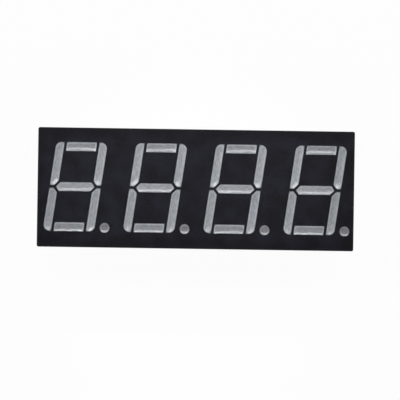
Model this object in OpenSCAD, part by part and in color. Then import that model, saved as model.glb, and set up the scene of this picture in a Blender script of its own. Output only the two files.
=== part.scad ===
// Four digit seven segment LED display module with decimal points, for soldering through a board.
//
// X runs along the row of digits, Y points up a digit and Z points out of the face.
// The origin is the centre of the pin pattern, on the plane of the housing's back rim.
// All lengths are in millimetres.
//
// A moulded reflector housing has one tapered cavity per bar and dot. A cast epoxy plug fills each
// cavity down to the circuit board, where it holds an LED chip and its bond wire. The board closes
// the cavities from behind, twelve pins are soldered through it, and a back fill pots it in place.

/* [Housing] */
// Margin between the outer digits and the ends of the housing
side_margin = 2; // [1.9:0.1:4]
// Margin between the digits and the long sides of the housing
long_margin = 2.4; // [2.2:0.1:4]
// Depth of the housing, from its back rim to its face
body_t = 8; // [7:0.1:10]
// Thickness of the walls round the back pocket
wall_t = 0.8; // [0.6:0.1:1]
// Radius of the upright corners
corner_r = 0.3; // [0.1:0.05:0.6]
// Chamfer round the edge of the face
face_chamfer = 0.15; // [0.05:0.05:0.4]
// Thickness of the face over the cored pockets
face_skin = 1.2; // [0.8:0.1:2]
// Thickness of the wall between a cored pocket and a cavity
core_wall = 0.8; // [0.5:0.1:1]

/* [Digits] */
// Distance from one digit to the next
digit_pitch = 12.7; // [12.5:0.1:12.7]
// Height of a digit over its bars
digit_h = 14.2; // [12:0.1:14.6]
// Width of a digit over its uprights
digit_w = 8.2; // [7.6:0.1:8.2]
// Lean of the digits, in degrees
slant = 8; // [6:0.5:9]
// Shift of the row of digits along X, from the housing's centre
digit_shift_x = -0.1; // [-0.3:0.05:0]
// Shift of the row of digits along Y, from the housing's centre
digit_shift_y = 0.1; // [-0.2:0.05:0.2]
// Thickness of the level bars
level_t = 1.45; // [1.2:0.05:1.6]
// Thickness of the uprights, measured along X
upright_t = 1.35; // [1.2:0.05:1.6]
// Width of the web between two neighbouring bars
bar_gap = 0.36; // [0.25:0.01:0.45]
// Distance from the middle bar's points to the sides of a digit
point_inset = 1; // [0.9:0.05:1.2]
// Slope of the middle bar's pointed ends, in degrees
point_angle = 48; // [45:1:60]
// Radius of a digit's outer corners
digit_corner_r = 1; // [0.6:0.05:1]
// How much a bar's cavity narrows on each side, from the face to the board
bar_taper_w = 0.25; // [0.1:0.05:0.25]

/* [Decimal points] */
// Diameter of a dot at the face
dot_d = 1.6; // [1.4:0.1:1.7]
// Gap between a dot and the leaning side of its digit
dot_gap = 0.75; // [0.5:0.05:0.8]
// Height of a dot's centre over the foot of its digit
dot_rise = 0.65; // [0.3:0.05:1]
// How much a dot's cavity narrows on each side, from the face to the board
dot_taper_w = 0.2; // [0.05:0.05:0.25]

/* [Board and fill] */
// Thickness of the circuit board
board_t = 1; // [0.8:0.1:1.6]
// Clearance between the board and the walls of the back pocket
board_clear = 0.15; // [0.05:0.05:0.15]
// Thickness of the back fill under the board
fill_t = 1.3; // [0.8:0.1:1.6]
// How far the back fill stops short of the back rim
fill_recess = 0.3; // [0.1:0.05:0.6]

/* [LEDs] */
// Side of a square LED chip
chip_w = 0.25; // [0.2:0.01:0.3]
// Height of an LED chip
chip_t = 0.16; // [0.1:0.01:0.25]
// Distance from a chip's centre to the foot of its bond wire
wire_span = 0.45; // [0.4:0.01:0.5]
// Thickness of a bond wire
wire_t = 0.03; // [0.02:0.005:0.04]
// Thickness of the copper pads let into the board
pad_t = 0.035; // [0.018:0.001:0.07]
// Width of a pad, across the line from chip to wire
pad_w = 0.45; // [0.35:0.01:0.6]
// Gap between a chip's pad and its wire's pad
pad_gap = 0.1; // [0.04:0.01:0.1]
// How far a pad reaches past its chip or its wire
pad_margin = 0.08; // [0.02:0.01:0.1]

/* [Pins] */
// Distance from one pin to the next in a row
pin_pitch = 2.54; // [2:0.01:3]
// Distance from a row of pins to the housing's long side
pin_inset = 1.88; // [1.78:0.01:2.2]
// Diameter of a pin
pin_d = 0.5; // [0.4:0.05:0.55]
// Length of a pin below the back rim
pin_l = 6; // [3:0.1:8]
// Chamfer at the tip of a pin
pin_chamfer = 0.1; // [0.05:0.01:0.15]
// Thickness of the tin on a pin's outer length
tin_t = 0.01; // [0.005:0.005:0.02]
// How far the tin reaches above the plane of the back rim
tin_rise = 0.05; // [0:0.05:0.2]
// Thickness of the solder sleeve between a pin and its hole
solder_t = 0.1; // [0.05:0.01:0.12]
// Height of the solder fillet under the board
fillet_h = 0.5; // [0.3:0.05:0.7]
// Width of the solder fillet, beyond the sleeve
fillet_w = 0.2; // [0.1:0.01:0.2]
// Width of the copper ring that shows round a fillet
land_margin = 0.05; // [0.02:0.01:0.08]

/* [Hidden] */
$fn = 48;
over = 0.5;                                       // how far a cutter passes the face that it cuts
arc_steps = 8;                                    // flats in a quarter turn of an outline or a wire

DIGITS = [1, 2, 3, 4];
BARS = ["a", "b", "c", "d", "e", "f", "g"];
DOT = "dot";
PINS = [for (n = [1 : 12]) n];
row_pins = len(PINS) / 2;

function bar_node(d, s) = str("digit_", d, "_segment_", s);
function dot_node(d) = str("digit_", d, "_decimal_point");
function chips_node(d) = str("digit_", d, "_led_chips");
function wires_node(d) = str("digit_", d, "_bond_wires");
function pin_node(n) = str("pin_", n);

// Heights, from the back rim up
board_z = fill_recess + fill_t;                   // underside of the board
floor_z = board_z + board_t;                      // top of the board, which is the floor of the cavities
face_z = body_t;                                  // face of the housing
pin_z = -pin_l;                                   // tips of the pins

body_w = (len(DIGITS) - 1) * digit_pitch + digit_w + 2 * side_margin;
body_h = digit_h + 2 * long_margin;
row_pitch = body_h - 2 * pin_inset;
core_r = pin_d / 2 - tin_t;                       // radius of a pin without its tin
hole_r = core_r + solder_t;                       // radius of the board's holes
pocket_w = body_w - 2 * wall_t;
pocket_h = body_h - 2 * wall_t;

// A digit, measured from its own centre before it leans
half_w = digit_w / 2;
half_h = digit_h / 2;
inner_w = half_w - upright_t;                     // centre to the inner edge of an upright
inner_h = half_h - level_t;                       // centre to the inner edge of the top or bottom bar
level_half = inner_w - bar_gap / cos(slant);      // half the length of the top or bottom bar
point_run = level_t / 2 / tan(point_angle);       // length of the middle bar's pointed end
point_half = half_w - point_inset;                // centre to the tip of the middle bar
mitre_tip = point_half + bar_gap / sin(point_angle);  // where the uprights' mitres would meet

// Moves a digit's point sideways by the lean at its height.
function lean(p) = [p.x + p.y * tan(slant), p.y];

// Where a digit's centre is.
function digit_place(d) =
    [(d - (len(DIGITS) + 1) / 2) * digit_pitch + digit_shift_x, digit_shift_y];

// The points of an arc of radius r that rounds the corner b between a and c.
function rounded_corner(a, b, c, r) =
    let (
        u = (a - b) / norm(a - b),
        v = (c - b) / norm(c - b),
        half = acos(u * v) / 2,
        centre = b + (u + v) / norm(u + v) * r / sin(half),
        first = b + u * r / tan(half) - centre,
        side = sign(cross(u, v)),
        turn = -side * (180 - 2 * half)
    )
    [for (i = [0 : arc_steps])
        let (t = turn * i / arc_steps)
        centre + [first.x * cos(t) - first.y * sin(t), first.x * sin(t) + first.y * cos(t)]];

// An outline moved to its left by d all round, which is inwards when it runs anticlockwise.
function inset(points, d) =
    let (n = len(points))
    [for (i = [0 : n - 1])
        let (
            p = points[i],
            before = p - points[(i + n - 1) % n],
            after = points[(i + 1) % n] - p,
            m = [-before.y, before.x] / norm(before),
            k = [-after.y, after.x] / norm(after)
        )
        p + d * (m + k) / (1 + m * k)];

function reversed(points) = [for (i = [len(points) - 1 : -1 : 0]) points[i]];

// A rectangle with rounded corners, centred.
function rounded_rectangle(w, h, r) =
    let (c = [[-w, -h], [w, -h], [w, h], [-w, h]] / 2)
    [for (i = [0 : 3]) each rounded_corner(c[(i + 3) % 4], c[i], c[(i + 1) % 4], r)];

// Level bars, narrowed by d: foot is the height of the bar's lower edge.
function level_outline(foot, d) =
    let (w = level_half, head = foot + level_t)
    inset([for (p = [[-w, foot], [w, foot], [w, head], [-w, head]]) lean(p)], d);

// The middle bar, pointed at both ends, narrowed by d.
function middle_outline(d) =
    let (w = point_half, f = point_half - point_run, h = level_t / 2)
    inset([for (p = [[-w, 0], [-f, -h], [f, -h], [w, 0], [f, h], [-f, h]]) lean(p)], d);

// Uprights, narrowed by d: side is -1 for left and 1 for right, end is 1 for upper and -1 for lower.
// The mitre runs along the middle bar's pointed end. The outer corner's radius narrows with the bar.
function upright_outline(side, end, d) =
    let (
        foot = bar_gap / 2,
        mitre_w = mitre_tip - foot / tan(point_angle),
        mitre_h = (mitre_tip - inner_w) * tan(point_angle),
        corners = [[half_w, foot], [mitre_w, foot], [inner_w, mitre_h], [inner_w, half_h], [half_w, half_h]],
        c = inset([for (p = corners) lean([side * p.x, end * p.y])], -side * end * d),
        r = digit_corner_r * (1 - 2 * d / (upright_t * cos(slant))),
        outline = concat([for (i = [0 : 3]) c[i]], rounded_corner(c[3], c[4], c[0], r))
    )
    side * end < 0 ? outline : reversed(outline);

// The outline of bar s about its digit's centre, narrowed by d.
function bar_outline(s, d) =
    s == "a" ? level_outline(inner_h, d) :
    s == "b" ? upright_outline(1, 1, d) :
    s == "c" ? upright_outline(1, -1, d) :
    s == "d" ? level_outline(-half_h, d) :
    s == "e" ? upright_outline(-1, -1, d) :
    s == "f" ? upright_outline(-1, 1, d) :
    middle_outline(d);

// The middle of bar or dot s, about its digit's centre, where its LED sits.
function led_place(s) =
    let (u = half_w - upright_t / 2, v = (half_h + bar_gap / 2) / 2)
    s == "a" ? lean([0, half_h - level_t / 2]) :
    s == "b" ? lean([u, v]) :
    s == "c" ? lean([u, -v]) :
    s == "d" ? lean([0, level_t / 2 - half_h]) :
    s == "e" ? lean([-u, -v]) :
    s == "f" ? lean([-u, v]) :
    s == "g" ? [0, 0] :
    lean([half_w, dot_rise - half_h]) + [dot_gap + dot_d / 2, 0];

// An LED's line from chip to wire runs along its bar, and straight up under a dot.
function led_angle(s) = s == "a" || s == "d" || s == "g" ? 0 : s == DOT ? 90 : 90 - slant;

// Where pin n is: 1 to 6 from left to right below, 7 to 12 from right to left above.
function pin_place(n) =
    let (i = n <= row_pins ? n - 1 : 2 * row_pins - n)
    [(i - (row_pins - 1) / 2) * pin_pitch, (n <= row_pins ? -1 : 1) * row_pitch / 2];

// How far a cavity has narrowed at height z.
function narrowed(taper, z) = taper * (face_z - z) / (face_z - floor_z);

// Bar s, as a cavity or a plug, from height low to height high.
module tapered_bar(s, low, high) {
    foot = bar_outline(s, narrowed(bar_taper_w, low));
    head = bar_outline(s, narrowed(bar_taper_w, high));
    n = len(foot);
    polyhedron(
        points = concat([for (p = foot) [p.x, p.y, low]], [for (p = head) [p.x, p.y, high]]),
        faces = concat(
            [[for (i = [0 : n - 1]) i], [for (i = [n - 1 : -1 : 0]) n + i]],
            [for (i = [0 : n - 1]) let (j = (i + 1) % n) [i, n + i, n + j, j]]
        )
    );
}

// A dot, as a cavity or a plug, from height low to height high.
module tapered_dot(low, high) {
    translate([0, 0, low])
        cylinder(
            h = high - low,
            r1 = dot_d / 2 - narrowed(dot_taper_w, low),
            r2 = dot_d / 2 - narrowed(dot_taper_w, high)
        );
}

// Puts what follows at a digit, or at one of its LEDs with X along the line from chip to wire.
module at_digit(d) translate(digit_place(d)) children();
module at_led(s) translate(led_place(s)) rotate(led_angle(s)) children();

// An LED chip. Chip and wire foot stand evenly about the middle of the bar.
module chip() {
    translate([-(wire_span + chip_w) / 2, -chip_w / 2, floor_z]) cube([chip_w, chip_w, chip_t]);
}

// A bond wire: up from the chip, over in a half circle and down to its pad.
module bond_wire() {
    r = wire_span / 2;
    outer = [for (i = [0 : 2 * arc_steps])
        let (t = 90 * i / arc_steps) [(r + wire_t / 2) * cos(t), chip_t + (r + wire_t / 2) * sin(t)]];
    inner = [for (i = [2 * arc_steps : -1 : 0])
        let (t = 90 * i / arc_steps) [(r - wire_t / 2) * cos(t), chip_t + (r - wire_t / 2) * sin(t)]];
    foot = [[r - wire_t / 2, 0], [r + wire_t / 2, 0]];
    translate([0, 0, floor_z]) rotate([90, 0, 0])
        linear_extrude(wire_t, center = true) polygon(concat(outer, inner, foot));
}

// The two copper pads under an LED, with the gap between them midway from chip to wire.
module pads() {
    chip_pad_l = (wire_span + chip_w - pad_gap) / 2 + pad_margin;
    wire_pad_l = (wire_span + wire_t - pad_gap) / 2 + pad_margin;
    translate([-pad_gap / 2 - chip_pad_l, -pad_w / 2, floor_z - pad_t]) cube([chip_pad_l, pad_w, pad_t]);
    translate([pad_gap / 2, -pad_w / 2, floor_z - pad_t]) cube([wire_pad_l, pad_w, pad_t]);
}

// The copper ring round a pin's hole, let into the underside of the board.
module land() {
    translate([0, 0, board_z]) difference() {
        cylinder(h = pad_t, r = hole_r + fillet_w + land_margin);
        translate([0, 0, -over]) cylinder(h = pad_t + 2 * over, r = hole_r);
    }
}

// All the copper on the board.
module copper() {
    for (d = DIGITS) at_digit(d) for (s = concat(BARS, [DOT])) at_led(s) pads();
    for (n = PINS) translate(pin_place(n)) land();
}

module led() {
    chip();
    bond_wire();
}

// One lean-sided pocket, from the underside of the face block up to the face skin.
module core(left, right, bottom, top) {
    translate([0, 0, floor_z - over]) linear_extrude(face_z - face_skin - floor_z + over)
        polygon([lean([left, bottom]), lean([right, bottom]), lean([right, top]), lean([left, top])]);
}

// The block with its chamfered face edge.
module housing_block() {
    intersection() {
        linear_extrude(face_z) polygon(rounded_rectangle(body_w, body_h, corner_r));
        rotate([90, 0, 0]) linear_extrude(body_h + 2 * over, center = true) chamfered(body_w);
        rotate([90, 0, 90]) linear_extrude(body_w + 2 * over, center = true) chamfered(body_h);
    }
}

// The block's section, w wide, with its two upper corners cut off.
module chamfered(w) {
    h = w / 2;
    c = face_chamfer;
    polygon([[-h, 0], [h, 0], [h, face_z - c], [h - c, face_z], [c - h, face_z], [-h, face_z - c]]);
}

module housing() {
    loop_w = inner_w - core_wall;
    color([0.12, 0.12, 0.13]) difference() {
        housing_block();
        translate([0, 0, -over])
            linear_extrude(floor_z + over) polygon(rounded_rectangle(pocket_w, pocket_h, corner_r));
        for (d = DIGITS) at_digit(d) {
            for (s = BARS) tapered_bar(s, floor_z - over, face_z + over);
            translate(led_place(DOT)) tapered_dot(floor_z - over, face_z + over);
            core(-loop_w, loop_w, level_t / 2 + core_wall, inner_h - core_wall);
            core(-loop_w, loop_w, core_wall - inner_h, -level_t / 2 - core_wall);
        }
        for (i = [1 : len(DIGITS) - 1]) at_digit(DIGITS[i])
            core(
                half_w - digit_pitch + core_wall, -half_w - core_wall,
                dot_rise - half_h + dot_d / 2 + core_wall, half_h - core_wall
            );
    }
}

module segment(d, s) {
    color([0.68, 0.69, 0.71]) at_digit(d) difference() {
        tapered_bar(s, floor_z, face_z);
        at_led(s) led();
    }
}

module decimal_point(d) {
    color([0.62, 0.62, 0.64]) at_digit(d) difference() {
        translate(led_place(DOT)) tapered_dot(floor_z, face_z);
        at_led(DOT) led();
    }
}

module led_chips(d) {
    color([0.85, 0.75, 0.35]) at_digit(d) for (s = concat(BARS, [DOT])) at_led(s) chip();
}

module bond_wires(d) {
    color("gold") at_digit(d) for (s = concat(BARS, [DOT])) at_led(s) bond_wire();
}

module board_block() {
    w = pocket_w - 2 * board_clear;
    h = pocket_h - 2 * board_clear;
    translate([-w / 2, -h / 2, board_z]) cube([w, h, board_t]);
}

module circuit_board() {
    color([0.82, 0.8, 0.68]) difference() {
        board_block();
        copper();
        for (n = PINS) translate(pin_place(n)) translate([0, 0, board_z - over])
            cylinder(h = board_t + 2 * over, r = hole_r);
    }
}

module copper_pads() {
    color([0.8, 0.5, 0.3]) copper();
}

// A pin stands flush with the top of the board, and is tinned up to just above the back rim's plane.
module pin(n) {
    r = pin_d / 2;
    color([0.78, 0.78, 0.8]) translate(pin_place(n)) rotate_extrude()
        polygon([
            [0, pin_z], [r - pin_chamfer, pin_z], [r, pin_z + pin_chamfer], [r, tin_rise],
            [core_r, tin_rise], [core_r, floor_z], [0, floor_z]
        ]);
}

// The outside of a solder joint: a sleeve through the board and a fillet under it.
module joint_outside() {
    rotate_extrude() polygon([
        [0, board_z - fillet_h], [core_r, board_z - fillet_h], [hole_r + fillet_w, board_z],
        [hole_r, board_z], [hole_r, floor_z], [0, floor_z]
    ]);
}

module solder_joints() {
    color([0.7, 0.71, 0.73]) for (n = PINS) translate(pin_place(n)) difference() {
        joint_outside();
        translate([0, 0, board_z - fillet_h - over])
            cylinder(h = board_t + fillet_h + 2 * over, r = core_r);
    }
}

module back_fill() {
    color([0.8, 0.8, 0.78]) difference() {
        translate([0, 0, fill_recess]) linear_extrude(floor_z - fill_recess)
            polygon(rounded_rectangle(pocket_w, pocket_h, corner_r));
        board_block();
        for (n = PINS) translate(pin_place(n)) {
            joint_outside();
            translate([0, 0, fill_recess - over]) cylinder(h = fill_t, r = core_r);
        }
    }
}

housing();
for (d = DIGITS, s = BARS) segment(d, s);
for (d = DIGITS) decimal_point(d);
for (d = DIGITS) led_chips(d);
for (d = DIGITS) bond_wires(d);
circuit_board();
copper_pads();
for (n = PINS) pin(n);
solder_joints();
back_fill();
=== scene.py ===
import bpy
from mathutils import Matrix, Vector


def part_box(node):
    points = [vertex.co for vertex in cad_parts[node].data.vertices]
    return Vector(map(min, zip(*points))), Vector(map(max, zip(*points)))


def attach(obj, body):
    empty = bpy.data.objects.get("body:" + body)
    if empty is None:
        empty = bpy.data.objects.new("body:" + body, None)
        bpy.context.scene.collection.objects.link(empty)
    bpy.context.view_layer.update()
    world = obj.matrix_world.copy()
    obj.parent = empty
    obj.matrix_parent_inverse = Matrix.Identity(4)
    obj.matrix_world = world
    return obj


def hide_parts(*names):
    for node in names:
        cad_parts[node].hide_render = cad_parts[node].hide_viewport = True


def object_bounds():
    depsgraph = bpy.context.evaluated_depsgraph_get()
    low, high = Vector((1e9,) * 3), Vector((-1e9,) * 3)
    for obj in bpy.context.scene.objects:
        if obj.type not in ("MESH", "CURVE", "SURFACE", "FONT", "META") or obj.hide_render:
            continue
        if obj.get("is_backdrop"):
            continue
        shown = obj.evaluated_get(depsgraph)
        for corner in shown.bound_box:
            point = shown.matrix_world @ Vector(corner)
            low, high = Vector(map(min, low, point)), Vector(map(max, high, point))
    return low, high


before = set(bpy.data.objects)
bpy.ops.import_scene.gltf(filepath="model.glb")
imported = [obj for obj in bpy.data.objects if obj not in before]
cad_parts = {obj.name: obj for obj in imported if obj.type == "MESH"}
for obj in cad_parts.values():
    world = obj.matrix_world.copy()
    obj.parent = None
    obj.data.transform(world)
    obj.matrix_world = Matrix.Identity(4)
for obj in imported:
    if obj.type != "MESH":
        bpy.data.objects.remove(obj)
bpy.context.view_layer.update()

import math

import bmesh
import bpy
from bpy.props import FloatProperty, FloatVectorProperty, IntProperty, PointerProperty
from mathutils import Matrix, Vector, noise

bl_info = {
    "name": "Four Digit Display",
    "version": (1, 0, 0),
    "blender": (4, 5, 0),
    "location": "View3D > Sidebar > Display",
    "description": "Dresses a four digit seven segment display module and sets its stage",
    "category": "Object",
}

MM = 0.001
DIGITS = range(1, 5)
SEGMENTS = "abcdefg"
LEVEL = "adg"  # the bars that lie level; the others are upright
PINS = [f"pin_{n}" for n in range(1, 13)]

# Mesh work
MERGE = 1e-7  # points closer than this are one point
FLAT = 0.999  # how square to an axis a face's normal is to count as flat
UPWARD = 0.5  # how far up a normal points to belong to a plug's face and not to its wall
SINK = 0.001 * MM  # how far a face sinks in each settling pass
EASE = 0.8  # how far a settling pass moves a point towards its neighbours' height

# Bars and points
SHADE_PAINTED_ON = {"a": 0.81, "c": 0.95, "d": 0.78, "e": 0.95}  # painted shade: how far a bar's colour is darkened where it isn't 1, for the light that reaches it less
SAG = {"a": 1.12, "c": 1.08, "d": 1.18, "e": 1.12, "g": 1.23}  # times its hollow's set depth
FOOT_LIGHT_PAINTED = 0.12  # painted light: how much lighter an upright bar's colour is painted at its foot than at its head
FALL = 2  # power that keeps an upright bar's hollow shallow at its rim and steeper further in
CLOSER = 2  # how much closer a level bar's upright cuts lie, so its hollow keeps its section
ACROSS = 4  # how much longer the ripples are across a bar than along it
FINE_RIPPLE = 0.35  # height of the fine ripples, against the coarse ones
FINE_COUNT = 2.3  # how many fine ripples there are to a coarse one
COAT_ROUGHNESS = {"bar": 0.04, "point": 0.28}
BARE = {"bar": 0.6, "point": 0.3}  # how much of the coat's gloss some patches lack
FLOW = {"level": (0.5, 1.5, 1), "upright": (1.5, 0.5, 1), "point": (1.3, 1.3, 1)}  # grain by axis

# Potting, in millimetres
POTTING_STEPS = (0.08, 0.18, 0.32, 0.52, 0.8, 1.2)  # from the wall to each cut in its face
POTTING_RINGS = (0.24, 0.28, 0.34, 0.43, 0.56)  # radii of the rings round a pin
POTTING_SWELL = 5  # distance between two swells of its face
PIN_HOLE = 0.5  # an edge nearer than this to a pin's middle belongs to the pin's hole

# Stage
LAMPS = {  # left, right, front, back and height over the face in millimetres, tilt in degrees
    "strip": (-110, 110, 16.5, 38, 91, 0),
    "tube": (-110, 110, 29.5, 32.5, 90, 0),
    "key": (-110, 110, 60, 100, 75, 45),
    "front": (-110, 110, -100, -40, 91, 0),
    "left": (-450, -200, -60, 350, 600, 0),
    "right": (55, 450, -60, 350, 600, 0),
}
WATTS = 4  # power for each square metre of a lamp with a radiance of 1
SPOT_PLACE = -1 * MM  # where along the digits the spotlight's middle falls
SPOT_SOFTNESS = 0.75  # share of the spotlight's cone over which its light dies away
SPOT_RADIUS = 5 * MM
DIMMING = (0.1, 0.55)  # heights in the sky, from 0 to 1, between which it turns dimmer
WHITE = (1, 1, 1)


# ---------------------------------------------------------------- settings

def length(name, description, mm):
    """A size setting, written in millimetres and kept in metres."""
    return FloatProperty(
        name=name, description=description, default=mm * MM, precision=5, unit="LENGTH")


def angle(name, description, degrees):
    """An angle setting, written in degrees and kept in radians."""
    return FloatProperty(
        name=name, description=description, default=math.radians(degrees), subtype="ANGLE")


def share(name, description, default, top=1.0):
    """A plain number setting from 0 up."""
    return FloatProperty(
        name=name, description=description, default=default, min=0, max=top, subtype="FACTOR")


def number(name, description, default, least):
    """A whole number setting."""
    return IntProperty(name=name, description=description, default=default, min=least)


def linear(screen):
    """A screen value from 0 to 255 as an amount of light from 0 to 1."""
    value = screen / 255
    return value / 12.92 if value <= 0.04045 else ((value + 0.055) / 1.055) ** 2.4


def colour(name, description, red, green, blue):
    """A colour setting, written as screen values and kept linear."""
    return FloatVectorProperty(
        name=name, description=description, default=[linear(v) for v in (red, green, blue)],
        min=0, max=1, size=3, subtype="COLOR")


class HousingSettings(bpy.types.PropertyGroup):
    """Finishes of the shell: black ink outside, white reflector plastic inside."""
    ink: colour("Ink", "Black ink on the face and the sides", 23, 23, 32)
    ink_border: colour("Ink at the border", "Browner ink towards the face's border", 18, 16, 24)
    ink_edge: colour("Ink at the edges", "Ink where it thins along the outer edges", 34, 33, 36)
    plastic: colour("Plastic", "White plastic of the cavities and the back rim", 226, 226, 222)
    ink_gloss: share("Ink gloss", "Specular level of the ink", 0.12)
    ink_roughness: share("Ink roughness", "Roughness of the ink", 0.46)
    edge_band: length("Edge band", "Width of the worn band along the face's outer edges", 0.3)
    overspray: length("Overspray", "Height at the back over which the ink fades out", 0.35)


class SegmentSettings(bpy.types.PropertyGroup):
    """The epoxy bars that light up."""
    pitch: length("Grid pitch", "Spacing of the cells on a bar's face", 0.09)
    passes: number("Settling passes", "Passes that even out a bar's face as it sinks", 160, 1)
    slant: angle("Slant", "Lean of the digits", 8)
    dish: length("Dish", "Depth of the hollow that a level bar's face cures into", 0.088)
    ripple: length("Ripple", "Unevenness of a level bar's hollow", 0.055)
    upright_dish: length("Upright dish", "Depth of an upright bar's hollow", 0.145)
    upright_ripple: length("Upright ripple", "Unevenness of an upright bar's hollow", 0.012)
    ripple_length: length("Ripple length", "Distance between two ripples", 1.4)
    body: colour("Body", "Smoky diffusing epoxy", 147, 153, 158)
    tint: colour("Tint", "Faintly warmer patches of the epoxy", 153, 152, 159)
    rim: colour("Rim", "Epoxy over the white walls, along a bar's rim", 156, 160, 165)


class PointSettings(bpy.types.PropertyGroup):
    """The epoxy decimal points."""
    rings: number("Rings", "Rings of cells from a point's rim to its centre", 12, 2)
    dish: length("Dish", "Depth of the hollow of a point's face", 0.108)
    ripple: length("Ripple", "Unevenness of the hollow", 0.006)
    body: colour("Body", "Epoxy of a point, darker over its narrow well", 119, 120, 125)
    tint: colour("Tint", "Faintly warmer patches of the epoxy", 121, 119, 124)
    rim: colour("Rim", "Epoxy along a point's rim", 123, 123, 128)
    ring: colour("Ring", "The chip's cup, seen dimly through the epoxy", 105, 105, 110)


class BackSettings(bpy.types.PropertyGroup):
    """The potting behind the circuit board."""
    pitch: length("Grid pitch", "Spacing of the cells on the potting's face", 0.42)
    wall_climb: length("Climb at the wall", "How far the potting creeps up the shell", 0.2)
    wall_reach: length("Reach at the wall", "How far from the shell the creep dies away", 0.45)
    pin_climb: length("Climb at the pins", "How far the potting creeps along a pin", 0.22)
    pin_reach: length("Reach at the pins", "How far from a pin the creep dies away", 0.16)
    corner: length("Corner", "Radius of the shell's inner corners", 0.3)
    ripple: length("Ripple", "Unevenness of the potting", 0.035)
    body: colour("Body", "Milky potting epoxy", 226, 223, 211)
    cloud: colour("Cloud", "Clearer, warmer patches of the potting", 213, 207, 187)


class MetalSettings(bpy.types.PropertyGroup):
    """Pins, solder, copper and bond wires."""
    tin: colour("Tin", "Tinned pins", 216, 216, 213)
    tin_dull: colour("Dull tin", "Tin where it has dulled", 184, 182, 177)
    solder: colour("Solder", "Solder joints", 190, 191, 193)
    copper: colour("Copper", "Pads and rings of the board", 201, 138, 98)
    copper_dull: colour("Dull copper", "Copper where it has tarnished", 132, 82, 55)
    gold: colour("Gold", "Bond wires", 232, 190, 104)


class InnerSettings(bpy.types.PropertyGroup):
    """The circuit board and the light-emitting chips."""
    board: colour("Board", "Glass laminate", 176, 164, 104)
    weave: colour("Weave", "Glass threads in the laminate", 205, 196, 142)
    weave_pitch: length("Weave pitch", "Distance between two glass threads", 0.5)
    chip: colour("Chip", "Crystal of a light-emitting chip", 120, 112, 84)
    chip_top: colour("Chip top", "Metal contact on a chip", 214, 196, 150)


class StageSettings(bpy.types.PropertyGroup):
    """Floor, lamps and camera."""
    floor: colour("Floor", "Plain floor", 248, 248, 248)
    floor_glow: share("Floor glow", "Share of plain white that shows in the floor", 0.95)
    floor_size: length("Floor size", "Side of the square floor", 6000)
    sky_high: share("Sky overhead", "Brightness of the surroundings overhead", 0.2, 5)
    sky_low: share("Sky at the horizon", "Brightness at the horizon", 0.85, 5)
    strip: share("Strip light", "Radiance of the near light behind the digits' tops", 2.2, 20)
    tube: share("Tube light", "Radiance that the tube in the strip light adds", 6.0, 20)
    key: share("Key light", "Radiance of the low light behind the digits' tops", 0.8, 20)
    front: share("Front light", "Radiance of the light in front of the digits", 0.45, 20)
    left: share("Left light", "Radiance of the left light", 0.32, 20)
    right: share("Right light", "Radiance of the right light", 0.1, 20)
    spot: share("Spotlight", "Power in watts of the light on the face's middle", 2.1, 20)
    spot_cone: angle("Spot cone", "Full angle of the spotlight", 8.1)
    spot_reach: length("Spot reach", "How far above and behind the face the spot hangs", 280)
    height: length("Camera height", "Height of the camera above the face", 400)
    across: length("Camera across", "Camera's place along the digits", 0.69)
    along: length("Camera up", "Camera's place up the digits", -1.71)
    roll: angle("Roll", "Turn of the camera", 0.875)
    lens: FloatProperty(
        name="Lens", description="Focal length", default=226.7, min=1, unit="CAMERA")


class DisplaySettings(bpy.types.PropertyGroup):
    """Everything that a user would change."""
    housing: PointerProperty(type=HousingSettings)
    segments: PointerProperty(type=SegmentSettings)
    points: PointerProperty(type=PointSettings)
    back: PointerProperty(type=BackSettings)
    metals: PointerProperty(type=MetalSettings)
    inner: PointerProperty(type=InnerSettings)
    stage: PointerProperty(type=StageSettings)


# ---------------------------------------------------------------- shader nodes

class Field:
    """A node's output; Python's signs on it add Math nodes."""

    def __init__(self, finish, socket):
        self.finish = finish
        self.socket = socket

    def math(self, operation, *values):
        """The outcome of a Math node on those values."""
        return self.finish.node("Math", {"operation": operation}, dict(enumerate(values)))

    def __add__(self, other):
        return self.math("ADD", self, other)

    def __sub__(self, other):
        return self.math("SUBTRACT", self, other)

    def __rsub__(self, other):
        return self.math("SUBTRACT", other, self)

    def __mul__(self, other):
        return self.math("MULTIPLY", self, other)

    def __abs__(self):
        return self.math("ABSOLUTE", self)

    __radd__ = __add__
    __rmul__ = __mul__

    def most(self, other):
        return self.math("MAXIMUM", self, other)

    def least(self, other):
        return self.math("MINIMUM", self, other)

    def sine(self):
        return self.math("SINE", self)

    def rise(self, low, high):
        """0 below low, 1 above high, smooth between them; low above high turns it round."""
        return self.finish.node(
            "MapRange", {"interpolation_type": "SMOOTHSTEP"},
            {"Value": self, "From Min": low, "From Max": high})


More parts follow.
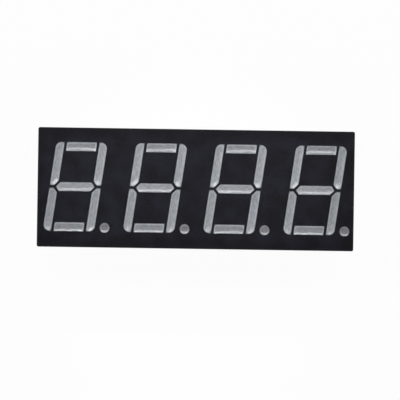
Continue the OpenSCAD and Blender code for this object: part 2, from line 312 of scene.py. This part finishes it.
class Finish:
    """The node tree of a material or of the world, as it is put together."""

    def __init__(self, owner):
        owner.use_nodes = True
        self.tree = owner.node_tree
        self.tree.nodes.clear()

    def node(self, kind, settings=None, sockets=None, output=None):
        """Adds a node, sets its settings first and then its sockets, and gives one output."""
        made = self.tree.nodes.new("ShaderNode" + kind)
        for name, value in (settings or {}).items():
            setattr(made, name, value)
        for key, value in (sockets or {}).items():
            socket = self.pick(made.inputs, key)
            if isinstance(value, Field):
                self.tree.links.new(value.socket, socket)
            elif socket.type == "RGBA":
                socket.default_value = (*value[:3], 1)
            else:
                socket.default_value = value
        return Field(self, self.pick(made.outputs, output or 0)) if made.outputs else None

    @staticmethod
    def pick(sockets, key):
        """The socket with that number, or the one in use with that name or identifier."""
        if isinstance(key, int):
            return sockets[key]
        return next(s for s in sockets if key in (s.identifier, s.name) and s.enabled)

    def place(self):
        """Object coordinates in millimetres."""
        raw = self.node("TexCoord", output="Object")
        return self.node("VectorMath", {"operation": "SCALE"}, {"Vector": raw, "Scale": 1 / MM})

    def drawn(self, place, scale, turn=0.0):
        """Coordinates turned in the plane of the face, then scaled along each axis."""
        sizes = tuple(1 / along for along in scale)
        return self.node(
            "Mapping", {"vector_type": "TEXTURE"},
            {"Vector": place, "Rotation": (0, 0, turn), "Scale": sizes})

    def axes(self, place):
        """The three coordinates, one by one."""
        return [self.node("SeparateXYZ", None, {"Vector": place}, axis) for axis in "XYZ"]

    def grain(self, place, scale, detail=2, roughness=0.5):
        """Soft noise from 0 to 1, with scale grains to the millimetre."""
        return self.node(
            "TexNoise", None,
            {"Vector": place, "Scale": scale, "Detail": detail, "Roughness": roughness}, "Fac")

    def cells(self, place, scale):
        """Distance to the nearest of scattered points, with scale points to the millimetre."""
        return self.node("TexVoronoi", None, {"Vector": place, "Scale": scale}, "Distance")

    def own(self, name):
        """A value that the piece's mesh carries."""
        return self.node("Attribute", {"attribute_name": name}, output="Fac")

    def mix(self, factor, first, second, blend="MIX"):
        """One colour turning into another."""
        return self.node(
            "Mix", {"data_type": "RGBA", "blend_type": blend},
            {"Factor_Float": factor, "A_Color": first, "B_Color": second}, "Result_Color")

    def shade(self, base, tone):
        """A colour made lighter or darker by a tone, which leaves it alone where it is 1."""
        grey = self.node("CombineColor", None, {0: tone, 1: tone, 2: tone})
        return self.mix(1.0, base, grey, "MULTIPLY")

    def bump(self, height, distance):
        """A normal that rises and falls with the height by up to the distance."""
        return self.node("Bump", None, {"Height": height, "Distance": distance})

    def surface(self, **sockets):
        """The material's shader; an underscore in a name stands for a space."""
        sockets = {name.replace("_", " "): value for name, value in sockets.items()}
        shader = self.node("BsdfPrincipled", None, sockets)
        self.node("OutputMaterial", None, {"Surface": shader})


def new_material(name):
    """A material and the node tree to build it in."""
    material = bpy.data.materials.new(name)
    return material, Finish(material)


def darker(base, tone):
    """A plain colour at a share of its brightness."""
    return [value * tone for value in base]


def dress(material, *names):
    """Puts a material on CAD nodes."""
    for name in names:
        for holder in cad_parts[name].material_slots:
            holder.material = material


# ---------------------------------------------------------------- finishes
# Here places are in millimetres, and a grain's scale is in grains to the millimetre.

def ink_over_plastic(p):
    """Black ink on the shell's outside, thin along its edges, over white plastic."""
    material, m = new_material("ink over white plastic")
    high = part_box("housing")[1] / MM
    band = p.edge_band / MM
    fade = p.overspray / MM
    place = m.place()
    x, y, z = m.axes(place)
    from_end = high.x - abs(x)
    from_side = high.y - abs(y)
    from_edge = from_end.least(from_side)
    mottle = m.grain(place, 0.35, detail=3)
    fine = m.grain(place, 4, detail=3)
    speckle = m.grain(place, 6, detail=3)
    wear = m.grain(place, 3, detail=3).rise(0.2, 0.6)

    on_sides = from_edge.rise(0.2, 0.15)
    on_face = z.rise(high.z - 0.02, high.z - 0.01)
    sprayed = (z + speckle * fade).rise(fade * 0.6, fade * 1.1)
    inked = on_sides.most(on_face) * sprayed

    long_border = from_side.rise(2.4, 0.2)
    short_border = from_end.rise(1.5, 0.2) * 0.4
    brown_patch = m.grain(place, 0.2).rise(0.45, 0.7) * 0.7
    tone = 0.42 + mottle.rise(0.3, 0.7) * 0.6 + fine.rise(0.3, 0.7) * 0.46
    ink = m.mix(long_border + short_border + brown_patch, p.ink, p.ink_border)
    thin = from_edge.rise(band, 0) * z.rise(high.z - band, high.z) * wear
    ink = m.mix(thin, m.shade(ink, tone), p.ink_edge)
    plastic = m.mix(m.grain(place, 1.2, detail=3), p.plastic, darker(p.plastic, 0.92))
    m.surface(
        Base_Color=m.mix(inked, plastic, ink),
        Roughness=p.ink_roughness + fine * 0.06 + mottle * 0.05,
        Specular_IOR_Level=p.ink_gloss,
        Normal=m.bump(fine + m.grain(place, 3) * 0.6, 0.0015 * MM),
    )
    return material


def epoxy(name, p, kind, flow, turn=0.0):
    """Glossy diffusing epoxy, lighter along its rim but with a painted shadow at its very edge,
    its grain drawn out the way it flowed.
    """
    material, m = new_material(name)
    place = m.place()
    flowing = m.drawn(place, FLOW[flow], turn)
    inward = m.own("inward")
    cloud = m.grain(place, 1.6, detail=3)
    fine = m.grain(flowing, 2.8, detail=4, roughness=0.65)
    patch = m.grain(flowing, 1.5).rise(0.42, 0.62)

    core = m.mix(m.grain(place, 0.9).rise(0.35, 0.65), p.body, p.tint)
    if kind == "bar":
        # painted light and shade: a bar's colour is scaled by the share its mesh carries
        core = m.shade(core, m.own("painted_shade"))
    else:
        cup = inward.rise(0.6, 0.7) * inward.rise(0.92, 0.82)
        chip = inward.rise(0.985, 0.995)
        core = m.mix(cup + chip, core, p.ring)
    base = m.mix(inward.rise(0.75, 0.42), core, p.rim)
    tone = 0.735 + cloud * 0.2 + fine.rise(0.3, 0.7) * 0.34
    # painted shadow: the colour darkens to a quarter along the rim's very edge, where the
    # cavity's edge would shade it
    rim_shadow_painted = 0.25 + inward.rise(0.02, 0.26) * 0.75
    m.surface(
        Base_Color=m.shade(base, tone * rim_shadow_painted),
        Roughness=0.1 + fine * 0.06,
        IOR=1.55,
        Coat_Weight=1 - BARE[kind] + patch * BARE[kind],
        Coat_Roughness=COAT_ROUGHNESS[kind],
        Normal=m.bump(fine * 0.4 + m.grain(place, 3), 0.002 * MM),
    )
    return material


def potting_epoxy(p):
    """Milky epoxy with clearer clouds and a few small bubbles under its skin."""
    material, m = new_material("potting epoxy")
    place = m.place()
    cloud = m.grain(place, 0.28, detail=4)
    fine = m.grain(place, 5, detail=3)
    bubbles = m.cells(place, 0.9)
    base = m.mix(cloud.rise(0.25, 0.8), p.body, p.cloud)
    m.surface(
        Base_Color=m.mix(bubbles.rise(0.1, 0.05) * 0.5, base, p.cloud),
        Roughness=0.2 + fine * 0.1,
        Coat_Weight=0.4,
        Coat_Roughness=0.12,
        Normal=m.bump(bubbles.rise(0.16, 0) * 0.5 + fine * 0.15, 0.01 * MM),
    )
    return material


def tinned_pin(p):
    """Tin over drawn wire, with fine lines along it and dull patches."""
    material, m = new_material("tinned pin")
    place = m.place()
    lines = m.grain(m.drawn(place, (9, 9, 0.7)), 1, detail=4, roughness=0.6)
    patch = m.grain(place, 0.9, detail=3)
    m.surface(
        Base_Color=m.mix(patch.rise(0.4, 0.75), p.tin, p.tin_dull),
        Metallic=1.0,
        Roughness=0.2 + lines * 0.2 + patch * 0.1,
        Normal=m.bump(lines, 0.004 * MM),
    )
    return material


def glass_laminate(p):
    """Resin board with its glass threads showing faintly."""
    material, m = new_material("glass laminate")
    place = m.place()
    x, y, _ = m.axes(place)
    turns = 2 * math.pi / (p.weave_pitch / MM)
    threads = ((x * turns).sine() + (y * turns).sine()) * 0.25 + 0.5
    m.surface(
        Base_Color=m.mix(threads * m.grain(place, 1.5, detail=3), p.board, p.weave),
        Roughness=0.4 + threads * 0.15,
        Normal=m.bump(threads, 0.004 * MM),
    )
    return material


def copper_foil(p):
    """Etched copper, tarnished in patches."""
    material, m = new_material("copper foil")
    place = m.place()
    tarnish = m.grain(place, 2.2, detail=4)
    m.surface(
        Base_Color=m.mix(tarnish.rise(0.42, 0.72), p.copper, p.copper_dull),
        Metallic=1.0,
        Roughness=0.26 + tarnish * 0.2,
        Normal=m.bump(m.grain(place, 18), 0.002 * MM),
    )
    return material


def frosted_solder(p):
    """Solder that froze with a faint frost on it."""
    material, m = new_material("solder")
    place = m.place()
    frost = m.grain(place, 7, detail=4)
    m.surface(
        Base_Color=m.mix(frost, p.solder, darker(p.solder, 0.75)),
        Metallic=1.0,
        Roughness=0.16 + frost * 0.22,
        Normal=m.bump(frost, 0.006 * MM),
    )
    return material


def chip_crystal(p):
    """A chip's crystal with the metal contact on its top."""
    material, m = new_material("chip crystal")
    place = m.place()
    z = m.axes(place)[2]
    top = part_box("digit_1_led_chips")[1].z / MM
    contact = z.rise(top - 0.012, top - 0.004) * m.grain(place, 9).rise(0.35, 0.5)
    m.surface(
        Base_Color=m.mix(contact, p.chip, p.chip_top),
        Metallic=contact * 0.9,
        Roughness=0.18 + m.grain(place, 30) * 0.15,
        IOR=2.0,
    )
    return material


def gold_wire(p):
    """Fine gold wire, faintly drawn."""
    material, m = new_material("gold wire")
    drawn = m.grain(m.place(), 40)
    m.surface(
        Base_Color=m.mix(drawn * 0.4, p.gold, darker(p.gold, 0.8)),
        Metallic=1.0,
        Roughness=0.14 + drawn * 0.12,
    )
    return material


# ---------------------------------------------------------------- mesh tools

def copied(name):
    """A CAD node's mesh to work on, its loose triangles joined."""
    bm = bmesh.new()
    bm.from_mesh(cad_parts[name].data)
    bmesh.ops.remove_doubles(bm, verts=bm.verts, dist=MERGE)
    return bm


def flat_faces(bm, level, up):
    """The faces that lie flat at a level and look up (1) or down (-1)."""
    near = MERGE * 10
    return [f for f in bm.faces
            if f.normal.z * up > FLAT and abs(f.calc_center_median().z - level) < near]


def upward_faces(bm):
    """The faces of a plug that aren't its wall or its underside."""
    return [f for f in bm.faces if f.normal.z > UPWARD]


def only(kind, made):
    """Those of an operator's results that are faces, edges or points."""
    return [item for item in made if isinstance(item, kind)]


def with_edges(faces):
    """Faces with all their edges and points, as the cutting tools want them."""
    edges = {e for f in faces for e in f.edges}
    points = {v for f in faces for v in f.verts}
    return [*points, *edges, *faces]


def cut_at(bm, faces, across, spots):
    """Cuts flat faces at each of the spots along a direction, and gives the faces it leaves."""
    for spot in spots:
        cut = bmesh.ops.bisect_plane(
            bm, geom=with_edges(faces), dist=MERGE, plane_co=across * spot, plane_no=across)
        faces = only(bmesh.types.BMFace, cut["geom"])
    return faces


def cut_grid(bm, faces, level_pitch, leaning_pitch, slant):
    """Cuts flat faces into even cells by level lines and lines that lean with the digits."""
    leaning = Vector((math.cos(slant), -math.sin(slant), 0))
    for across, pitch in ((Vector((0, 1, 0)), level_pitch), (leaning, leaning_pitch)):
        reach = [across.dot(v.co) for f in faces for v in f.verts]
        low, high = min(reach), max(reach)
        count = max(2, round((high - low) / pitch))
        spots = [low + (high - low) * i / count for i in range(1, count)]
        faces = cut_at(bm, faces, across, spots)
    return faces


def inner_points(faces):
    """The points of a patch of faces that aren't on its rim."""
    patch = set(faces)
    points = {v for f in faces for v in f.verts}
    return [v for v in points if all(f in patch for f in v.link_faces)]


def settle(bm, faces, passes):
    """Each inner point's share of the deepest sag, if the patch sank evenly from its rim."""
    points = inner_points(faces)
    level = points[0].co.z
    for _ in range(passes):
        bmesh.ops.translate(bm, verts=points, vec=(0, 0, -SINK))
        bmesh.ops.smooth_vert(bm, verts=points, factor=EASE, use_axis_z=True)
    deepest = max(level - v.co.z for v in points)
    shares = {v: (level - v.co.z) / deepest for v in points}
    for v in points:
        v.co.z = level
    return shares


def hollow(bm, depth, ripple, along_x, along_y, fall=1):
    """Sinks a face by a power of its points' shares, with ripples of those lengths in it."""
    inward = bm.verts.layers.float["inward"]
    for v in bm.verts:
        if v[inward] > 0:
            spot = Vector((v.co.x / along_x, v.co.y / along_y, 0))
            wave = noise.noise(spot) + FINE_RIPPLE * noise.noise(spot * FINE_COUNT)
            v.co.z -= v[inward] ** fall * (depth - ripple * wave)
    bm.normal_update()


def piece(name, bm, smooth, material, replaced):
    """Turns a mesh into a finished piece that stands for a CAD node."""
    patch = set(smooth)
    for face in smooth:
        face.smooth = True
    for edge in {e for f in smooth for e in f.edges}:
        edge.smooth = all(f in patch for f in edge.link_faces)
    many_sided = [f for f in bm.faces if len(f.verts) > 4]
    bmesh.ops.triangulate(bm, faces=many_sided, ngon_method="BEAUTY")
    mesh = bpy.data.meshes.new(name)
    bm.to_mesh(mesh)
    bm.free()
    mesh.materials.append(material)
    made = bpy.data.objects.new(name, mesh)
    bpy.context.scene.collection.objects.link(made)
    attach(made, "root")
    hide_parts(replaced)


# ---------------------------------------------------------------- pieces

class DISPLAY_OT_housing(bpy.types.Operator):
    """Finishes the shell in black ink over white plastic"""
    bl_idname = "display.housing"
    bl_label = "Housing"

    def execute(self, context):
        dress(ink_over_plastic(context.scene.segment_display.housing), "housing")
        return {"FINISHED"}


def bar_pattern(p, letter):
    """Digit 1's bar with a grid on its face, whose points carry their sag and their painted
    shade.
    """
    name = f"digit_1_segment_{letter}"
    low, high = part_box(name)
    level = letter in LEVEL
    bm = copied(name)
    top = bmesh.ops.dissolve_faces(bm, faces=flat_faces(bm, high.z, 1))["region"]
    top = cut_grid(bm, top, p.pitch, p.pitch / CLOSER if level else p.pitch, p.slant)
    inward = bm.verts.layers.float.new("inward")
    painted_shade = bm.verts.layers.float.new("painted_shade")
    for v, depth in settle(bm, top, p.passes).items():
        v[inward] = depth
    # painted light and shade: each point carries its bar's painted darkening, lighter at an
    # upright bar's foot
    for v in bm.verts:
        down = 0 if level else 0.5 - (v.co.y - low.y) / (high.y - low.y)
        v[painted_shade] = SHADE_PAINTED_ON.get(letter, 1) * (1 + FOOT_LIGHT_PAINTED * down)
    return bm


class DISPLAY_OT_segments(bpy.types.Operator):
    """Casts the twenty-eight epoxy bars with their dished faces"""
    bl_idname = "display.segments"
    bl_label = "Segments"

    def execute(self, context):
        p = context.scene.segment_display.segments
        level_epoxy = epoxy("level bar epoxy", p, "bar", "level")
        upright_epoxy = epoxy("upright bar epoxy", p, "bar", "upright", -p.slant)
        along, across = p.ripple_length, p.ripple_length * ACROSS
        for letter in SEGMENTS:
            pattern = bar_pattern(p, letter)
            sag = SAG.get(letter, 1)
            for digit in DIGITS:
                replaced = f"digit_{digit}_segment_{letter}"
                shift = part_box(replaced)[0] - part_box(f"digit_1_segment_{letter}")[0]
                bm = pattern.copy()
                bmesh.ops.translate(bm, verts=bm.verts, vec=shift)
                if letter in LEVEL:
                    material = level_epoxy
                    hollow(bm, p.dish * sag, p.ripple, along, across)
                else:
                    material = upright_epoxy
                    hollow(bm, p.upright_dish * sag, p.upright_ripple, across, along, FALL)
                name = f"digit_{digit}_bar_{letter}"
                piece(name, bm, upward_faces(bm), material, replaced)
            pattern.free()
        return {"FINISHED"}


class DISPLAY_OT_points(bpy.types.Operator):
    """Casts the four decimal points"""
    bl_idname = "display.points"
    bl_label = "Decimal Points"

    def execute(self, context):
        p = context.scene.segment_display.points
        material = epoxy("point epoxy", p, "point", "point")
        for digit in DIGITS:
            replaced = f"digit_{digit}_decimal_point"
            low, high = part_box(replaced)
            centre = (low + high) / 2
            radius = (high.x - low.x) / 2
            bm = copied(replaced)
            middle = bmesh.ops.dissolve_faces(bm, faces=flat_faces(bm, high.z, 1))["region"]
            step = radius / (p.rings + 0.5)  # leaves half a ring's width round the centre
            top = []
            for _ in range(p.rings):
                inset = bmesh.ops.inset_region(
                    bm, faces=middle, thickness=step, use_even_offset=True)
                top += inset["faces"]
            top += bmesh.ops.poke(bm, faces=middle)["faces"]
            inward = bm.verts.layers.float.new("inward")
            for v in inner_points(top):
                v[inward] = 1 - ((v.co.xy - centre.xy).length / radius) ** 2
            hollow(bm, p.dish, p.ripple, high.x - low.x, high.y - low.y)
            name = f"digit_{digit}_point"
            piece(name, bm, upward_faces(bm), material, replaced)
        return {"FINISHED"}


def potting_edges(bm, pins):
    """The open edges along the wall, and a list for each pin of those round its hole."""
    wall = []
    holes = [[] for _ in pins]
    for edge in (e for e in bm.edges if e.is_boundary):
        reach, n = min(((edge.verts[0].co.xy - pin).length, n) for n, pin in enumerate(pins))
        (holes[n] if reach < PIN_HOLE * MM else wall).append(edge)
    return wall, holes


def cut_potting(bm, face, high, pitch):
    """Cuts the potting's face into a grid that lies closer along the wall."""
    for axis, across in enumerate((Vector((1, 0, 0)), Vector((0, 1, 0)))):
        flat = high[axis] - POTTING_STEPS[-1] * MM
        count = round(2 * flat / pitch)
        spots = [flat - 2 * flat * i / count for i in range(count + 1)]
        spots += [side * (high[axis] - step * MM)
                  for step in POTTING_STEPS[:-1] for side in (-1, 1)]
        face = cut_at(bm, face, across, spots)
    return face


def ring_pin(bm, face, pin, rim):
    """Opens the potting's face round a pin and fills it up again with rings of faces."""
    outer = POTTING_RINGS[-1] * MM
    close = [f for f in face if min((v.co.xy - pin).length for v in f.verts) < outer]
    hole = {e for f in close for e in f.edges if not all(g in close for g in e.link_faces)}
    bmesh.ops.delete(bm, geom=close, context="FACES")
    face = [f for f in face if f.is_valid]
    about = Matrix.Translation((-pin.x, -pin.y, 0))
    for before, radius in zip(POTTING_RINGS, POTTING_RINGS[1:]):
        grown = bmesh.ops.extrude_edge_only(bm, edges=rim)["geom"]
        growth = radius / before
        bmesh.ops.scale(
            bm, vec=(growth, growth, 1), space=about, verts=only(bmesh.types.BMVert, grown))
        face += only(bmesh.types.BMFace, grown)
        rim = [e for e in only(bmesh.types.BMEdge, grown) if e.is_boundary]
    return face + bmesh.ops.bridge_loops(bm, edges=rim + list(hole))["faces"]


def creep(face, pins, high, p):
    """Lets the potting's face swell a little and creep up the wall and along the pins."""
    core = Vector((high.x - p.corner, high.y - p.corner))
    for v in {v for f in face for v in f.verts}:
        past = Vector((abs(v.co.x), abs(v.co.y))) - core
        outside = Vector((max(past.x, 0), max(past.y, 0))).length
        from_wall = p.corner - outside - min(max(past), 0)
        from_pin = min((v.co.xy - pin).length for pin in pins) - POTTING_RINGS[0] * MM
        at_wall = math.exp(-from_wall / p.wall_reach)
        at_pin = math.exp(-from_pin / p.pin_reach)
        swell = noise.noise(Vector((v.co.x, v.co.y, 0)) / (POTTING_SWELL * MM))
        v.co.z += p.ripple * swell * (1 - at_wall) * (1 - at_pin)
        v.co.z -= p.wall_climb * at_wall + p.pin_climb * at_pin


class DISPLAY_OT_back_fill(bpy.types.Operator):
    """Pours the milky potting behind the circuit board"""
    bl_idname = "display.back_fill"
    bl_label = "Back Fill"

    def execute(self, context):
        p = context.scene.segment_display.back
        low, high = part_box("back_fill")
        pins = [sum(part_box(name), Vector()).xy / 2 for name in PINS]
        bm = copied("back_fill")
        bmesh.ops.delete(bm, geom=flat_faces(bm, low.z, -1), context="FACES")
        wall, holes = potting_edges(bm, pins)
        face = bmesh.ops.edgeloop_fill(bm, edges=wall)["faces"]
        face = cut_potting(bm, face, high, p.pitch)
        for pin, hole in zip(pins, holes):
            face = ring_pin(bm, face, pin, hole)
        bmesh.ops.recalc_face_normals(bm, faces=bm.faces)
        creep(face, pins, high, p)
        bm.normal_update()
        piece("potting", bm, face, potting_epoxy(p), "back_fill")
        return {"FINISHED"}


class DISPLAY_OT_pins(bpy.types.Operator):
    """Tins the twelve pins"""
    bl_idname = "display.pins"
    bl_label = "Pins"

    def execute(self, context):
        dress(tinned_pin(context.scene.segment_display.metals), *PINS)
        return {"FINISHED"}


class DISPLAY_OT_board(bpy.types.Operator):
    """Finishes the circuit board with its copper and solder"""
    bl_idname = "display.board"
    bl_label = "Circuit Board"

    def execute(self, context):
        settings = context.scene.segment_display
        dress(glass_laminate(settings.inner), "circuit_board")
        dress(copper_foil(settings.metals), "copper_pads")
        dress(frosted_solder(settings.metals), "solder_joints")
        return {"FINISHED"}


class DISPLAY_OT_chips(bpy.types.Operator):
    """Finishes the light-emitting chips and their bond wires"""
    bl_idname = "display.chips"
    bl_label = "Chips and Wires"

    def execute(self, context):
        settings = context.scene.segment_display
        dress(chip_crystal(settings.inner), *(f"digit_{n}_led_chips" for n in DIGITS))
        dress(gold_wire(settings.metals), *(f"digit_{n}_bond_wires" for n in DIGITS))
        return {"FINISHED"}


# ---------------------------------------------------------------- stage

def add_lamp(name, data, location, tilt):
    """Hangs a lamp that the camera doesn't see, tilted from straight down to the front."""
    lamp = bpy.data.objects.new(name, data)
    lamp.location = location
    lamp.rotation_euler = (-tilt, 0, 0)
    lamp.visible_camera = False
    bpy.context.scene.collection.objects.link(lamp)


def softbox(name, left, right, front, back, height, tilt, radiance):
    """A light panel that spans those edges, tilted about its middle."""
    data = bpy.data.lights.new(name, "AREA")
    data.shape = "RECTANGLE"
    data.size = right - left
    data.size_y = back - front
    data.energy = radiance * WATTS * data.size * data.size_y
    add_lamp(name, data, ((left + right) / 2, (front + back) / 2, height), tilt)


def spotlight(name, face, p):
    """A small lamp as far above the face as behind it, which lights its middle."""
    data = bpy.data.lights.new(name, "SPOT")
    data.energy = p.spot
    data.spot_size = p.spot_cone
    data.spot_blend = SPOT_SOFTNESS
    data.shadow_soft_size = SPOT_RADIUS
    add_lamp(name, data, (SPOT_PLACE, p.spot_reach, face + p.spot_reach), math.radians(45))


def plain_floor(p):
    """A pale floor that looks nearly plain white, keeps shadows, and is clear from below."""
    material, m = new_material("floor")
    rays = [m.node("LightPath", output=f"Is {kind} Ray")
            for kind in ("Camera", "Glossy", "Transmission")]
    seen = rays[0].most(rays[1]).most(rays[2])
    plain = m.node("BsdfDiffuse", None, {"Color": p.floor})
    white = m.node("Emission", None, {"Color": WHITE, "Strength": 1.0})
    lit = m.node("MixShader", None, {0: seen * p.floor_glow, 1: plain, 2: white})
    below = m.node("NewGeometry", output="Backfacing")
    clear = m.node("BsdfTransparent")
    both = m.node("MixShader", None, {0: below, 1: lit, 2: clear})
    m.node("OutputMaterial", None, {"Surface": both})
    return material


def lay_floor(p, level):
    """Lays the square floor at a level."""
    bm = bmesh.new()
    bmesh.ops.create_grid(bm, x_segments=1, y_segments=1, size=p.floor_size / 2)
    bmesh.ops.translate(bm, verts=bm.verts, vec=(0, 0, level))
    mesh = bpy.data.meshes.new("floor")
    bm.to_mesh(mesh)
    bm.free()
    mesh.materials.append(plain_floor(p))
    floor = bpy.data.objects.new("floor", mesh)
    bpy.context.scene.collection.objects.link(floor)
    floor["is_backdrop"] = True


def surroundings(p):
    """A plain white world, dimmer overhead than at the horizon."""
    world = bpy.data.worlds.new("surroundings")
    m = Finish(world)
    up = m.axes(m.node("TexCoord", output="Generated"))[2]
    strength = p.sky_low + (p.sky_high - p.sky_low) * up.rise(*DIMMING)
    sky = m.node("Background", None, {"Color": WHITE, "Strength": strength})
    m.node("OutputWorld", None, {"Surface": sky})
    return world


class DISPLAY_OT_stage(bpy.types.Operator):
    """Sets the floor, the lights and the camera"""
    bl_idname = "display.stage"
    bl_label = "Stage"

    def execute(self, context):
        scene = context.scene
        p = scene.segment_display.stage
        low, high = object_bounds()
        face = high.z
        lay_floor(p, low.z)
        scene.world = surroundings(p)

        for name, (*edges, height, tilt) in LAMPS.items():
            edges = [edge * MM for edge in edges]
            height = face + height * MM
            softbox(f"{name} light", *edges, height, math.radians(tilt), getattr(p, name))
        spotlight("spotlight", face, p)

        camera = bpy.data.objects.new("camera", bpy.data.cameras.new("camera"))
        camera.data.lens = p.lens
        camera.location = (p.across, p.along, face + p.height)
        camera.rotation_euler = (0, 0, p.roll)
        scene.collection.objects.link(camera)
        scene.camera = camera
        scene.view_settings.view_transform = "Standard"
        return {"FINISHED"}


class DISPLAY_PT_panel(bpy.types.Panel):
    """Lists the display's pieces and the stage"""
    bl_idname = "DISPLAY_PT_panel"
    bl_label = "Four Digit Display"
    bl_space_type = "VIEW_3D"
    bl_region_type = "UI"
    bl_category = "Display"

    def draw(self, context):
        for operator in OPERATORS:
            self.layout.operator(operator.bl_idname)


SETTINGS = (
    HousingSettings,
    SegmentSettings,
    PointSettings,
    BackSettings,
    MetalSettings,
    InnerSettings,
    StageSettings,
    DisplaySettings,
)
OPERATORS = (
    DISPLAY_OT_housing,
    DISPLAY_OT_segments,
    DISPLAY_OT_points,
    DISPLAY_OT_back_fill,
    DISPLAY_OT_pins,
    DISPLAY_OT_board,
    DISPLAY_OT_chips,
    DISPLAY_OT_stage,
)


def register():
    for kind in (*SETTINGS, *OPERATORS, DISPLAY_PT_panel):
        bpy.utils.register_class(kind)
    bpy.types.Scene.segment_display = PointerProperty(type=DisplaySettings)


def unregister():
    del bpy.types.Scene.segment_display
    for kind in reversed((*SETTINGS, *OPERATORS, DISPLAY_PT_panel)):
        bpy.utils.unregister_class(kind)


def main():
    """Makes every piece in order."""
    register()
    for operator in OPERATORS:
        group, name = operator.bl_idname.split(".")
        getattr(getattr(bpy.ops, group), name)()


if __name__ == "__main__":
    main()
